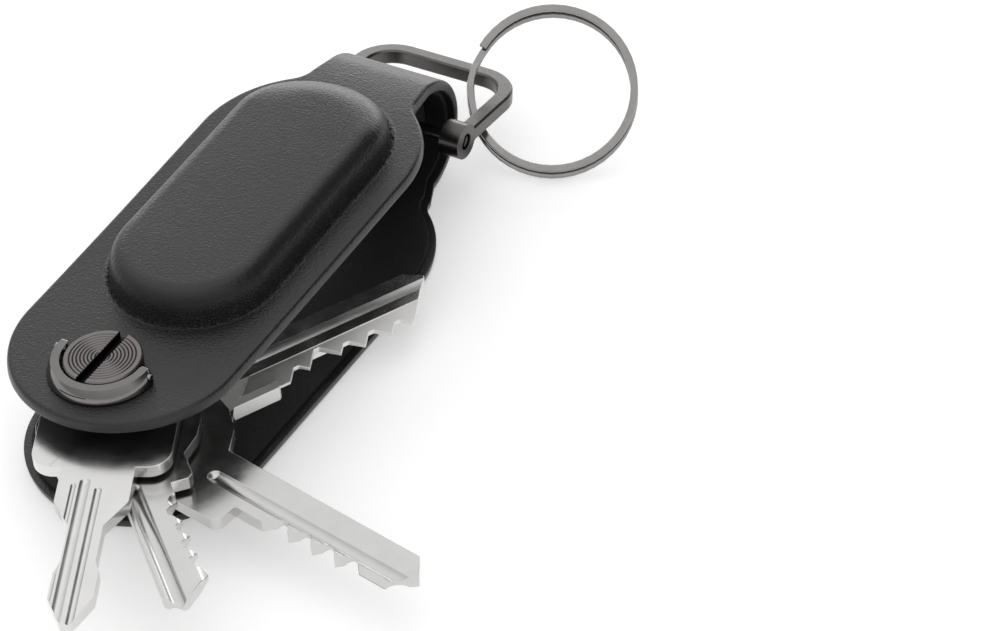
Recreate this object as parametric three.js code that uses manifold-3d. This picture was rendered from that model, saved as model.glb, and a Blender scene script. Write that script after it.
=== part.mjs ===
// A leather key organizer: a strip of lined leather folded into two leaves, with a padded dome on the
// front leaf, four keys fanned on a slotted post between the leaves, and a shackle with a split ring on a
// pin through the fold. Sizes are in millimetres. X runs from the post to the fold and Z is up. The origin
// is on the post's axis, at the height of the back leaf's outer face, on which the organizer lies.

import * as THREE from 'three';
import { mergeVertices } from 'three/addons/utils/BufferGeometryUtils.js';
import Module from 'manifold-3d';

const wasm = await Module();
wasm.setup();

// Cover
const leatherThickness = 1.3;
const liningThickness = 1.1;
const postInset = 11.05;
const nearEndTaper = 0.45;
const backLeafSetback = 1.1;
const shoulderHalfWidth = 17.7;
const shoulderStart = 53;
const shoulderRadius = 19.7;
const neckHalfWidth = 8.7;
const neckFillet = 4.5;
const foldCentreX = 73.6;

// Dome on the front leaf, a stadium in plan with a crowned top and a rounded shoulder, and its padding
const domeRadius = 12.7;
const domeNearX = 24;
const domeFarX = 55.2;
const domeHeight = 5.4;
const domeCrown = 0.8;
const domeShoulder = 3.6;
const paddingClearance = 0.3;

// Post: a barrel with a flush flange, and a screw whose head has ring grooves and a coin slot
const barrelRadius = 2.5;
const barrelWall = 0.7;
const barrelFlangeRadius = 5.6;
const barrelFloor = 3;
const screwClearance = 0.3;
const screwEngagement = 10;
const headRadius = 5.6;
const headHeight = 2.2;
const headChamfer = 0.2;
const slotWidth = 1.6;
const slotDepth = 1.1;
const ringGrooves = 9;
const ringGroovePitch = 0.52;
const ringGrooveDepth = 0.18;
const holeClearance = 0.3;

// Bail: a half ring round the head, on two pins, that turns the screw when it is raised
const bailHeadClearance = 0.4;
const bailWidth = 1.8;
const bailHeight = 1.9;
const bailLift = 0.2;
const bailPinRadius = 0.5;
const bailPinClearance = 0.15;
const bailPinSeat = 1.6;
const nailSlitHalfAngle = 16;
const nailSlitHeight = 0.3;
const nailSlitDepth = 0.4;

// Stack on the post, from the back leaf up
const bottomSpacerHeight = 2.7;
const washerThickness = 0.7;
const topSpacerHeight = 2.1;
const spacerRadius = 5.2;

// Keys, from the lowest up. Lengths run outwards from the post and widths to either side of a line
// through it.
const cutFlat = 0.9;
const cutSlope = 1.2;
const oneSidedKeys = {
  key_4: {
    thickness: 2.4, heading: -28.2, toothSide: -1,
    bowCentre: 5.5, bowRadius: 12, smoothEdge: 6, toothEdge: 4.3, tab: 5, tabEnd: 24.2, tabChamfer: 0.4,
    tip: 53.7, tipOffset: -3.8, tipEdge: 3.7, tipRake: 6.6, smoothRake: 2.3,
    firstCut: 28.2, cutPitch: 4.25, cuts: [2.1, 3.6, 2.4, 2.4, 2.1],
    grooves: [{ offset: -2.5, width: 1.9, depth: 0.15, from: 22 }],
    milled: {
      from: 18, fullFrom: 21.5, inner: 0.3, tabLand: 1.4, innerDepth: 0.1, edgeDepth: 0.6, below: 1.3,
    },
  },
  key_3: {
    thickness: 2, heading: -100.7, toothSide: -1,
    bowCentre: 5.5, bowRadius: 13, smoothEdge: 5.2, toothEdge: 2.6, tab: 6.5, tabEnd: 25.8, tabChamfer: 0.9,
    tip: 54.6, tipOffset: -2.2, tipEdge: 0.9, tipRake: 3.3, smoothRake: 2.4,
    firstCut: 33, cutPitch: 4.1, cuts: [2.3, 2.4, 2.5, 2.7],
    grooves: [{ offset: -0.2, width: 2.2, depth: 0.6, from: 18.4 }],
  },
  key_2: {
    thickness: 2, heading: -131.5, toothSide: 1,
    bowCentre: 4, bowRadius: 11.6, smoothEdge: 3.2, toothEdge: 3.6, tab: 6.9, tabEnd: 18.4, tabChamfer: 0.7,
    tip: 41.4, tipOffset: -1, tipEdge: 3.6, tipRake: 4.4, smoothRake: 2.1,
    firstCut: 23.8, cutPitch: 3.4, cuts: [1.9, 1.6, 1.7, 1.6],
    grooves: [
      { offset: -1.5, width: 2.2, depth: 0.7, from: 16.5 },
      { offset: 3.7, width: 3, depth: 0.6, from: 20.5 },
    ],
  },
};
const twoSidedKeys = {
  key_1: {
    thickness: 1.9, heading: -154.6,
    bowBack: 7, bowFront: 15.2, bowHalfWidth: 9.7, bowCorner: 3.2,
    centreLine: 0.9, neckHalfWidth: 5.1, neckEnd: 22, waistStart: 26.6, waistHalfWidth: 2.4, waistEnd: 33.4,
    headStart: 35.2, headHalfWidth: 3.1, headEnd: 40, tip: 44.8, tipHalfWidth: 0.7,
    grooves: [
      { offset: -2, width: 0.7, depth: 0.25, from: 18.5 },
      { offset: -0.5, width: 1.5, depth: 0.35, from: 17.4 },
      { offset: 1.5, width: 1, depth: 0.3, from: 19.2 },
    ],
  },
};

// Shackle: a flat bar bent into a U, with a boss on each end and a pin through both and the fold's core
const pinX = 76.8;
const pinRise = 0.4;
const pinRadius = 1;
const pinClearance = 0.3;
const pinEndSlotWidth = 0.7;
const pinEndSlotDepth = 0.5;
const shackleTilt = -7.5;
const shackleReach = 20;
const shackleHalfWidth = 13.9;
const shackleBarWidth = 2.5;
const shackleBarHeight = 2.5;
const shackleCorner = 7;
const shackleChamfer = 0.3;
const bossRadius = 2.85;
const bossLength = 3.4;
const coreHalfWidth = 4.2;
const coreClearance = 0.3;

// Split ring: two turns of flat wire, leaning through the shackle, its lowest point on the surface below
const ringRadius = 12.8;
const ringWireWidth = 1.2;
const ringWireHeight = 0.8;
const ringTurnGap = 0.45;
const ringTurnShift = 0.7;
const ringLegAlong = 8.3;
const ringHeading = -36;
const ringNormalElevation = 48.4;
const ringNormalAzimuth = -151.3;
const ringSplitAngle = 101;
const ringCrossingHalfAngle = 15;

// Facets
const roundSides = 36;
const pinSides = 20;
const arcSteps = 8;
const leafArcSteps = 12;
const domeShoulderSteps = 5;
const domeCrownSteps = 4;
const grooveSides = 24;
const grooveEndSteps = 6;
const wireStepsPerTurn = 48;
const gapSamples = 12;

// A cutting tool runs this far past the faces that it cuts
const overrun = 2;

// Worked out from the sizes above
const nearEndRadius = shoulderHalfWidth - nearEndTaper;
const nearEndCentreX = nearEndRadius - postInset;
const bailInnerRadius = headRadius + bailHeadClearance;
const bailOuterRadius = bailInnerRadius + bailWidth;
const keySpecs = { ...oneSidedKeys, ...twoSidedKeys };
const keyNames = Object.keys(keySpecs);
const coverThickness = leatherThickness + liningThickness;
const keyLevels = {};
const washerLevels = [];
let level = coverThickness + bottomSpacerHeight;
keyNames.forEach((name, index) => {
  if (index > 0) {
    washerLevels.push(level);
    level += washerThickness;
  }
  keyLevels[name] = level;
  level += keySpecs[name].thickness;
});
const topSpacerLevel = level;
const frontLeafInside = topSpacerLevel + topSpacerHeight;
const caseHeight = frontLeafInside + coverThickness;
const middleHeight = caseHeight / 2;
const foldRadius = middleHeight;
const frontLeatherInside = caseHeight - leatherThickness;
const postHoleRadius = barrelRadius + holeClearance;
const radians = THREE.MathUtils.degToRad;

// Solids: closed geometry with shared corners, ready to join and cut, and back again

function solid(geometry) {
  const bare = geometry.clone();
  bare.deleteAttribute('normal');
  bare.deleteAttribute('uv');
  const merged = mergeVertices(bare, 1e-5);
  const corners = merged.index.array;
  const triangles = [];
  for (let i = 0; i < corners.length; i += 3) {
    const [a, b, c] = [corners[i], corners[i + 1], corners[i + 2]];
    if (a !== b && b !== c && c !== a) {
      triangles.push(a, b, c);
    }
  }
  const vertProperties = new Float32Array(merged.attributes.position.array);
  const body = new wasm.Mesh({ numProp: 3, vertProperties, triVerts: new Uint32Array(triangles) });
  return new wasm.Manifold(body);
}

function geometryOf(body) {
  const { vertProperties, triVerts } = body.getMesh();
  const geometry = new THREE.BufferGeometry();
  geometry.setAttribute('position', new THREE.BufferAttribute(vertProperties, 3));
  geometry.setIndex(new THREE.BufferAttribute(triVerts, 1));
  geometry.computeVertexNormals();
  return geometry;
}

function extruded(shape, bottom, top, steps = arcSteps) {
  const options = { depth: top - bottom, bevelEnabled: false, curveSegments: steps };
  return new THREE.ExtrudeGeometry(shape, options).translate(0, 0, bottom);
}

function turned(profile) {
  const points = profile.map(([radius, height]) => new THREE.Vector2(radius, height));
  return new THREE.LatheGeometry(points, roundSides).rotateX(Math.PI / 2);
}

function rodAlongZ(radius, bottom, top) {
  const length = top - bottom;
  const rod = new THREE.CylinderGeometry(radius, radius, length, roundSides);
  return rod.rotateX(Math.PI / 2).translate(0, 0, bottom + length / 2);
}

function rodAlongY(radius, start, end, sides = pinSides) {
  const length = end - start;
  return new THREE.CylinderGeometry(radius, radius, length, sides).translate(0, start + length / 2, 0);
}

// Meshes

const organizer = new THREE.Group();
organizer.name = 'key_organizer';

const finishes = {
  leather: { color: 0x3a3a3a, roughness: 0.55, metalness: 0 },
  lining: { color: 0x141414, roughness: 0.85, metalness: 0 },
  padding: { color: 0x2b2b2b, roughness: 0.95, metalness: 0 },
  gunmetal: { color: 0x5f5b5a, roughness: 0.35, metalness: 0.9 },
  nickel: { color: 0xc9c9c6, roughness: 0.22, metalness: 1 },
  nylon: { color: 0x1d1d1d, roughness: 0.6, metalness: 0 },
};

function addMesh(parent, name, geometry, finish) {
  const mesh = new THREE.Mesh(geometry, new THREE.MeshStandardMaterial(finishes[finish]));
  mesh.name = name;
  parent.add(mesh);
}

// Cover

// Plan of a leaf: a round near end, straight sides, rounded shoulders and a neck that runs on past the fold
function leafShape(nearX) {
  const shoulderY = shoulderHalfWidth - shoulderRadius;
  const filletY = neckHalfWidth + neckFillet;
  const centreDistance = shoulderRadius + neckFillet;
  const filletX = shoulderStart + Math.sqrt(centreDistance ** 2 - (filletY - shoulderY) ** 2);
  const meeting = Math.atan2(filletY - shoulderY, filletX - shoulderStart);
  const farX = foldCentreX + foldRadius + overrun;
  const quarter = Math.PI / 2;
  const shape = new THREE.Shape();
  shape.absarc(nearX, 0, nearEndRadius, quarter, 3 * quarter, false);
  shape.absarc(shoulderStart, -shoulderY, shoulderRadius, -quarter, -meeting, false);
  shape.absarc(filletX, -filletY, neckFillet, Math.PI - meeting, quarter, true);
  shape.lineTo(farX, -neckHalfWidth);
  shape.lineTo(farX, neckHalfWidth);
  shape.absarc(filletX, filletY, neckFillet, -quarter, meeting - Math.PI, true);
  shape.absarc(shoulderStart, shoulderY, shoulderRadius, meeting, quarter, false);
  return shape;
}

// Side view of one layer of the folded strip, lying inset from the cover's outer face
function foldedStrip(inset, thickness) {
  const nearX = -postInset - overrun;
  const outer = foldRadius - inset;
  const inner = outer - thickness;
  const quarter = Math.PI / 2;
  const shape = new THREE.Shape();
  shape.moveTo(nearX, middleHeight + outer);
  shape.lineTo(foldCentreX, middleHeight + outer);
  shape.absarc(foldCentreX, middleHeight, outer, quarter, -quarter, true);
  shape.lineTo(nearX, middleHeight - outer);
  shape.lineTo(nearX, middleHeight - inner);
  shape.absarc(foldCentreX, middleHeight, inner, -quarter, quarter, false);
  shape.lineTo(nearX, middleHeight + inner);
  const halfWidth = shoulderHalfWidth + overrun;
  const strip = extruded(shape, -halfWidth, halfWidth, leafArcSteps).rotateX(Math.PI / 2);
  const front = extruded(leafShape(nearEndCentreX), middleHeight, caseHeight + overrun, leafArcSteps);
  const backCentreX = nearEndCentreX + backLeafSetback;
  const back = extruded(leafShape(backCentreX), -overrun, middleHeight, leafArcSteps);
  return solid(strip).intersect(solid(front).add(solid(back)));
}

// The dome's form, inset from its outer face, down to a given height: a profile that is swept straight
// along the middle and turned about both ends
function domeForm(inset, bottom) {
  const flatRadius = domeRadius - domeShoulder;
  const shoulder = domeShoulder - inset;
  const top = caseHeight + domeHeight - inset;
  const shoulderCentre = top - domeCrown - shoulder;
  const profile = [[0, bottom], [domeRadius - inset, bottom]];
  for (let i = 0; i < domeShoulderSteps; i += 1) {
    const angle = (Math.PI / 2) * (i / domeShoulderSteps);
    profile.push([flatRadius + shoulder * Math.cos(angle), shoulderCentre + shoulder * Math.sin(angle)]);
  }
  for (let i = domeCrownSteps; i >= 0; i -= 1) {
    const share = i / domeCrownSteps;
    profile.push([flatRadius * share, top - domeCrown * share ** 2]);
  }
  const right = profile.map(([radius, height]) => new THREE.Vector2(radius, height));
  const left = profile.slice(1, -1).reverse().map(([radius, height]) => new THREE.Vector2(-radius, height));
  const section = new THREE.Shape([...right, ...left]);
  const alongX = new THREE.Vector3(1, 0, 0);
  const alongY = new THREE.Vector3(0, 1, 0);
  const alongZ = new THREE.Vector3(0, 0, 1);
  const straight = extruded(section, domeNearX, domeFarX);
  straight.applyMatrix4(new THREE.Matrix4().makeBasis(alongY, alongZ, alongX));
  const nearEnd = turned(profile).translate(domeNearX, 0, 0);
  const farEnd = turned(profile).translate(domeFarX, 0, 0);
  return solid(straight).add(solid(nearEnd)).add(solid(farEnd));
}

function postHole(radius, bottom, top) {
  return solid(rodAlongZ(radius, bottom, top));
}

function coverLeather() {
  const strip = foldedStrip(0, leatherThickness).add(domeForm(0, frontLeatherInside));
  const pocket = domeForm(leatherThickness, frontLeatherInside - overrun);
  const frontHole = postHole(postHoleRadius, middleHeight, caseHeight + overrun);
  const flangeSeat = postHole(barrelFlangeRadius + holeClearance, -overrun, middleHeight);
  return strip.subtract(pocket).subtract(frontHole).subtract(flangeSeat);
}

function coverLining() {
  const strip = foldedStrip(leatherThickness, liningThickness);
  return strip.subtract(postHole(postHoleRadius, -overrun, caseHeight + overrun));
}

addMesh(organizer, 'cover_leather', geometryOf(coverLeather()), 'leather');
addMesh(organizer, 'cover_lining', geometryOf(coverLining()), 'lining');
const paddingInset = leatherThickness + paddingClearance;
addMesh(organizer, 'dome_padding', geometryOf(domeForm(paddingInset, frontLeatherInside)), 'padding');

// Post

const boreRadius = barrelRadius - barrelWall;
const barrelTop = caseHeight - leatherThickness;
addMesh(organizer, 'post_barrel', turned([
  [0, 0],
  [barrelFlangeRadius, 0],
  [barrelFlangeRadius, leatherThickness],
  [barrelRadius, leatherThickness],
  [barrelRadius, barrelTop],
  [boreRadius, barrelTop],
  [boreRadius, barrelFloor],
  [0, barrelFloor],
]), 'gunmetal');

// Ring grooves are V-shaped and centred on the screw's axis
function headFace(headTop) {
  const face = [];
  for (let i = ringGrooves; i > 0; i -= 1) {
    const radius = i * ringGroovePitch;
    face.push([radius + ringGroovePitch / 4, headTop]);
    face.push([radius, headTop - ringGrooveDepth]);
    face.push([radius - ringGroovePitch / 4, headTop]);
  }
  return face;
}

function postScrew() {
  const shankRadius = boreRadius - screwClearance;
  const headTop = caseHeight + headHeight;
  const blank = solid(turned([
    [0, barrelTop - screwEngagement],
    [shankRadius, barrelTop - screwEngagement],
    [shankRadius, caseHeight],
    [headRadius, caseHeight],
    [headRadius, headTop - headChamfer],
    [headRadius - headChamfer, headTop],
    ...headFace(headTop),
    [0, headTop],
  ]));
  const slot = new THREE.BoxGeometry(2 * (headRadius + overrun), slotWidth, 2 * slotDepth);
  const axisHeight = caseHeight + bailLift + bailHeight / 2;
  let body = blank.subtract(solid(slot.translate(0, 0, headTop)));
  for (const turn of [0, Math.PI]) {
    const seatRadius = bailPinRadius + bailPinClearance;
    const seat = rodAlongY(seatRadius, headRadius - bailPinSeat, headRadius + overrun);
    body = body.subtract(solid(seat.rotateZ(turn).translate(0, 0, axisHeight)));
  }
  return body;
}

addMesh(organizer, 'post_screw', geometryOf(postScrew()), 'gunmetal');

// Bail, in its own frame: the pins lie along Y and the half ring on the near side

const bailFrame = new THREE.Group();
bailFrame.position.z = caseHeight + bailLift + bailHeight / 2;
organizer.add(bailFrame);

function arcBand(inner, outer, from, to) {
  const shape = new THREE.Shape();
  shape.absarc(0, 0, outer, from, to, false);
  shape.absarc(0, 0, inner, to, from, true);
  return shape;
}

function screwBail() {
  const half = bailHeight / 2;
  const band = arcBand(bailInnerRadius, bailOuterRadius, Math.PI / 2, 1.5 * Math.PI);
  const slitHalfAngle = radians(nailSlitHalfAngle);
  const slitBand = arcBand(
    bailOuterRadius - nailSlitDepth,
    bailOuterRadius + overrun,
    Math.PI - slitHalfAngle,
    Math.PI + slitHalfAngle,
  );
  let body = solid(extruded(band, -half, half, leafArcSteps));
  body = body.subtract(solid(extruded(slitBand, -nailSlitHeight / 2, nailSlitHeight / 2)));
  for (const turn of [0, Math.PI]) {
    const eye = rodAlongY(half, bailInnerRadius, bailOuterRadius).rotateZ(turn);
    const inside = bailInnerRadius - overrun;
    const outside = bailOuterRadius + overrun;
    const hole = rodAlongY(bailPinRadius + bailPinClearance, inside, outside).rotateZ(turn);
    body = body.add(solid(eye)).subtract(solid(hole));
  }
  // The eyes' outer ends follow the ring's round outside
  const rim = solid(rodAlongZ(bailOuterRadius, -half - overrun, half + overrun));
  const bore = solid(rodAlongZ(bailInnerRadius, -half - overrun, half + overrun));
  return body.intersect(rim).subtract(bore);
}

addMesh(bailFrame, 'screw_bail', geometryOf(screwBail()), 'gunmetal');
const bailPinStart = headRadius - bailPinSeat + bailPinClearance;
const bailPinEnd = bailOuterRadius - bailPinClearance;
for (const [name, turn] of [['bail_pin_left', 0], ['bail_pin_right', Math.PI]]) {
  const pin = rodAlongY(bailPinRadius, bailPinStart, bailPinEnd).rotateZ(turn);
  addMesh(bailFrame, name, pin, 'gunmetal');
}

// Spacers and washers

function washer(name, bottom, height) {
  const shape = new THREE.Shape().absarc(0, 0, spacerRadius, 0, 2 * Math.PI, false);
  shape.holes.push(new THREE.Path().absarc(0, 0, postHoleRadius, 0, 2 * Math.PI, true));
  addMesh(organizer, name, extruded(shape, bottom, bottom + height, roundSides / 2), 'nylon');
}

washer('bottom_spacer', coverThickness, bottomSpacerHeight);
washerLevels.forEach((bottom, index) => washer(`key_washer_${index + 1}`, bottom, washerThickness));
washer('top_spacer', topSpacerLevel, topSpacerHeight);

// Keys

// The toothed edge from the tip back to the tab: flat-bottomed cuts whose flanks meet or leave a land
function toothedEdge(key) {
  const { cuts, firstCut, cutPitch, toothEdge, tipEdge } = key;
  const points = [];
  const last = cuts.length - 1;
  const cutStart = (index) => firstCut + index * cutPitch - cutFlat / 2;
  const cutEnd = (index) => firstCut + index * cutPitch + cutFlat / 2;
  points.push([cutEnd(last) + (tipEdge - toothEdge + cuts[last]) / cutSlope, tipEdge]);
  for (let i = last; i >= 0; i -= 1) {
    points.push([cutEnd(i), toothEdge - cuts[i]]);
    points.push([cutStart(i), toothEdge - cuts[i]]);
    if (i > 0) {
      const span = cutStart(i) - cutEnd(i - 1);
      const peakDepth = (cuts[i] + cuts[i - 1] - cutSlope * span) / 2;
      const landDepth = Math.max(peakDepth, 0);
      points.push([cutStart(i) - (cuts[i] - landDepth) / cutSlope, toothEdge - landDepth]);
      if (peakDepth < 0) {
        points.push([cutEnd(i - 1) + cuts[i - 1] / cutSlope, toothEdge]);
      }
    }
  }
  points.push([cutStart(0) - cuts[0] / cutSlope, toothEdge]);
  return points;
}

// A round bow, a stop tab on the toothed side, and a blade with one smooth edge
function oneSidedOutline(key) {
  const side = key.toothSide;
  const bowMeets = (offset) => key.bowCentre + Math.sqrt(key.bowRadius ** 2 - offset ** 2);
  const smoothStart = bowMeets(key.smoothEdge);
  const tabStart = bowMeets(key.tab);
  const shape = new THREE.Shape();
  const draw = (points) => points.forEach(([along, offset]) => shape.lineTo(along, side * offset));
  shape.moveTo(smoothStart, -side * key.smoothEdge);
  draw([
    [key.tip - key.smoothRake, -key.smoothEdge],
    [key.tip, key.tipOffset],
    [key.tip - key.tipRake, key.tipEdge],
    ...toothedEdge(key),
    [key.tabEnd, key.toothEdge],
    [key.tabEnd, key.tab - key.tabChamfer],
    [key.tabEnd - key.tabChamfer, key.tab],
    [tabStart, key.tab],
  ]);
  const tabAngle = Math.asin(key.tab / key.bowRadius);
  const smoothAngle = 2 * Math.PI - Math.asin(key.smoothEdge / key.bowRadius);
  shape.absarc(key.bowCentre, 0, key.bowRadius, side * tabAngle, side * smoothAngle, side < 0);
  return shape;
}

// A square bow with round corners, a wide neck, and a blade cut in at both edges
function twoSidedOutline(key) {
  const halfOutline = [
    [key.bowFront, key.neckHalfWidth],
    [key.neckEnd, key.neckHalfWidth],
    [key.waistStart, key.waistHalfWidth],
    [key.waistEnd, key.waistHalfWidth],
    [key.headStart, key.headHalfWidth],
    [key.headEnd, key.headHalfWidth],
    [key.tip, key.tipHalfWidth],
  ];
  const { bowBack, bowFront, bowHalfWidth, bowCorner, centreLine } = key;
  const quarter = Math.PI / 2;
  const leftCorner = centreLine + bowHalfWidth - bowCorner;
  const rightCorner = centreLine - bowHalfWidth + bowCorner;
  const shape = new THREE.Shape();
  shape.absarc(bowFront - bowCorner, leftCorner, bowCorner, 0, quarter, false);
  shape.absarc(bowCorner - bowBack, leftCorner, bowCorner, quarter, 2 * quarter, false);
  shape.absarc(bowCorner - bowBack, rightCorner, bowCorner, 2 * quarter, 3 * quarter, false);
  shape.absarc(bowFront - bowCorner, rightCorner, bowCorner, 3 * quarter, 4 * quarter, false);
  halfOutline.forEach(([along, offset]) => shape.lineTo(along, centreLine - offset));
  halfOutline.reverse().forEach(([along, offset]) => shape.lineTo(along, centreLine + offset));
  return shape;
}

// Milled grooves with a round floor run along the blade and out at its tip, on both faces
function keyBody(key, outline, side) {
  const hole = postHole(postHoleRadius, -overrun, key.thickness + overrun);
  let body = solid(extruded(outline, 0, key.thickness)).subtract(hole);
  for (const { offset, width, depth, from } of key.grooves) {
    const radius = (width ** 2 / 4 + depth ** 2) / (2 * depth);
    const start = from + width / 2;
    const length = key.tip + overrun - start;
    const cutter = new THREE.CapsuleGeometry(radius, length, grooveEndSteps, grooveSides);
    cutter.rotateZ(Math.PI / 2).translate(start + length / 2, side * offset, 0);
    for (const height of [depth - radius, key.thickness - depth + radius]) {
      body = body.subtract(solid(cutter.clone().translate(0, 0, height)));
    }
  }
  return key.milled ? body.subtract(toothSideCutter(key, side)) : body;
}

// The toothed side is milled down to a web: the upper face falls towards the edge, and the lower face is cut
// back evenly. Along the tab a land is left standing.
function toothSideCutter(key, side) {
  const { from, fullFrom, inner, tabLand, innerDepth, edgeDepth, below } = key.milled;
  const end = key.tip + overrun;
  const land = key.tab - tabLand;
  const outside = key.tab + overrun;
  const plan = [
    [from, land],
    [fullFrom, inner],
    [end, inner],
    [end, outside],
    [key.tabEnd, outside],
    [key.tabEnd, land],
  ];
  const shape = new THREE.Shape(plan.map(([along, offset]) => new THREE.Vector2(along, side * offset)));
  const angle = Math.atan2(edgeDepth - innerDepth, key.toothEdge - inner);
  const block = new THREE.BoxGeometry(2 * end, 2 * outside, key.thickness).translate(0, 0, key.thickness / 2);
  block.rotateX(-side * angle).translate(0, side * inner, key.thickness - innerDepth);
  const above = solid(extruded(shape, below, key.thickness + overrun)).intersect(solid(block));
  return above.add(solid(extruded(shape, -overrun, below)));
}

for (const name of keyNames) {
  const key = keySpecs[name];
  const frame = new THREE.Group();
  frame.position.z = keyLevels[name];
  frame.rotation.z = radians(key.heading);
  organizer.add(frame);
  const oneSided = name in oneSidedKeys;
  const outline = oneSided ? oneSidedOutline(key) : twoSidedOutline(key);
  const side = oneSided ? key.toothSide : 1;
  addMesh(frame, name, geometryOf(keyBody(key, outline, side)), 'nickel');
}

// Fold core and shackle, in a frame on the pin's axis

const pinHeight = middleHeight + pinRise;

function foldCore() {
  const radius = foldRadius - coverThickness - coreClearance;
  const rod = rodAlongY(radius, -coreHalfWidth, coreHalfWidth, roundSides);
  const core = solid(rod.translate(foldCentreX, 0, middleHeight));
  const reach = coreHalfWidth + overrun;
  const bore = rodAlongY(pinRadius + pinClearance, -reach, reach).translate(pinX, 0, pinHeight);
  return core.subtract(solid(bore));
}

addMesh(organizer, 'fold_core', geometryOf(foldCore()), 'nylon');

const shackleFrame = new THREE.Group();
shackleFrame.position.set(pinX, 0, pinHeight);
shackleFrame.rotation.y = -radians(shackleTilt);
organizer.add(shackleFrame);

function shackleShape(inset) {
  const halfWidth = shackleHalfWidth - inset;
  const reach = shackleReach - inset;
  const corner = shackleCorner - inset;
  const quarter = Math.PI / 2;
  const start = (pinRadius + pinClearance + bossRadius) / 2;
  const shape = new THREE.Path();
  shape.moveTo(start, -halfWidth);
  shape.lineTo(reach - corner, -halfWidth);
  shape.absarc(reach - corner, corner - halfWidth, corner, -quarter, 0, false);
  shape.absarc(reach - corner, halfWidth - corner, corner, 0, quarter, false);
  shape.lineTo(start, halfWidth);
  return shape.getPoints(arcSteps);
}

function shackleLoop() {
  const bar = new THREE.Shape([...shackleShape(0), ...shackleShape(shackleBarWidth).reverse()]);
  const depth = shackleBarHeight - 2 * shackleChamfer;
  const geometry = new THREE.ExtrudeGeometry(bar, {
    depth,
    bevelThickness: shackleChamfer,
    bevelSize: shackleChamfer,
    bevelOffset: -shackleChamfer,
    bevelSegments: 1,
  }).translate(0, 0, -depth / 2);
  let body = solid(geometry);
  const bossStart = shackleHalfWidth - bossLength;
  for (const turn of [0, Math.PI]) {
    const boss = rodAlongY(bossRadius, bossStart, shackleHalfWidth, roundSides).rotateZ(turn);
    body = body.add(solid(boss));
  }
  const reach = shackleHalfWidth + overrun;
  return body.subtract(solid(rodAlongY(pinRadius + pinClearance, -reach, reach)));
}

// The pin's right end has a short slot
function shacklePin() {
  const half = shackleHalfWidth - pinClearance;
  const slot = new THREE.BoxGeometry(2 * (pinRadius + overrun), 2 * pinEndSlotDepth, pinEndSlotWidth);
  const rod = rodAlongY(pinRadius, -half, half);
  return solid(rod).subtract(solid(slot.rotateY(-Math.PI / 3).translate(0, -half, 0)));
}

addMesh(shackleFrame, 'shackle_loop', geometryOf(shackleLoop()), 'gunmetal');
addMesh(shackleFrame, 'shackle_pin', geometryOf(shacklePin()), 'gunmetal');

// Split ring

const ringPitch = ringWireHeight + ringTurnGap;
const ringOuterRadius = ringRadius + ringWireWidth / 2;
const ringHalfHeight = (ringPitch + ringWireHeight) / 2;
const normalElevation = radians(ringNormalElevation);
const normalAzimuth = radians(ringNormalAzimuth);
const normalRise = Math.tan(normalElevation);
const ringNormal = new THREE.Vector3(Math.cos(normalAzimuth), Math.sin(normalAzimuth), normalRise);
ringNormal.normalize();

// The wire's corners at each step: flat turns, joined by a crossing on which neither end lies. The upper
// turn has slipped a little up the slope on which the ring leans.
function wireSections() {
  const upSlope = normalAzimuth + Math.PI - radians(ringSplitAngle);
  const crossing = radians(ringCrossingHalfAngle);
  const start = crossing;
  const end = 4 * Math.PI - crossing;
  const steps = Math.round((wireStepsPerTurn * (end - start)) / (2 * Math.PI));
  const sections = [];
  for (let i = 0; i <= steps; i += 1) {
    const angle = start + ((end - start) * i) / steps;
    const progress = THREE.MathUtils.clamp((angle - 2 * Math.PI) / crossing, -1, 1);
    const rise = Math.sin((progress * Math.PI) / 2);
    const middle = (ringPitch / 2) * rise;
    const centreX = (ringTurnShift / 2) * rise * Math.cos(upSlope);
    const centreY = (ringTurnShift / 2) * rise * Math.sin(upSlope);
    const section = [[-1, -1], [-1, 1], [1, 1], [1, -1]].map(([out, up]) => {
      const radius = ringRadius + (out * ringWireWidth) / 2;
      const height = middle + (up * ringWireHeight) / 2;
      const x = centreX + radius * Math.cos(angle);
      const y = centreY + radius * Math.sin(angle);
      return new THREE.Vector3(x, y, height);
    });
    sections.push({ angle, section });
  }
  return sections;
}

function wireGeometry(sections) {
  const positions = sections.flatMap(({ section }) => section.flatMap((corner) => corner.toArray()));
  const index = [];
  const sides = 4;
  for (let i = 0; i + 1 < sections.length; i += 1) {
    for (let side = 0; side < sides; side += 1) {
      const a = i * sides + side;
      const b = i * sides + ((side + 1) % sides);
      index.push(a, b, b + sides, a, b + sides, a + sides);
    }
  }
  const last = (sections.length - 1) * sides;
  index.push(0, 2, 1, 0, 3, 2);
  index.push(last, last + 1, last + 2, last, last + 2, last + 3);
  const geometry = new THREE.BufferGeometry();
  geometry.setAttribute('position', new THREE.Float32BufferAttribute(positions, 3));
  geometry.setIndex(index);
  geometry.computeVertexNormals();
  return geometry;
}

// Points along the four sides of a section of the wire
function sectionOutline(section) {
  return section.flatMap((corner, side) => {
    const next = section[(side + 1) % section.length];
    const shares = Array.from({ length: gapSamples }, (_, i) => i / gapSamples);
    return shares.map((share) => corner.clone().lerp(next, share));
  });
}

// The least distance between points of the wire's sides that lie more than half a turn apart along it
function leastTurnGap(sections) {
  const outlines = sections.map(({ angle, section }) => ({ angle, points: sectionOutline(section) }));
  let least = Infinity;
  outlines.forEach((first, index) => {
    for (const second of outlines.slice(index)) {
      const apart = second.angle - first.angle > Math.PI;
      if (apart && first.points[0].distanceTo(second.points[0]) < ringRadius / 2) {
        first.points.forEach((a) => second.points.forEach((b) => {
          least = Math.min(least, a.distanceTo(b));
        }));
      }
    }
  });
  return least;
}

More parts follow.
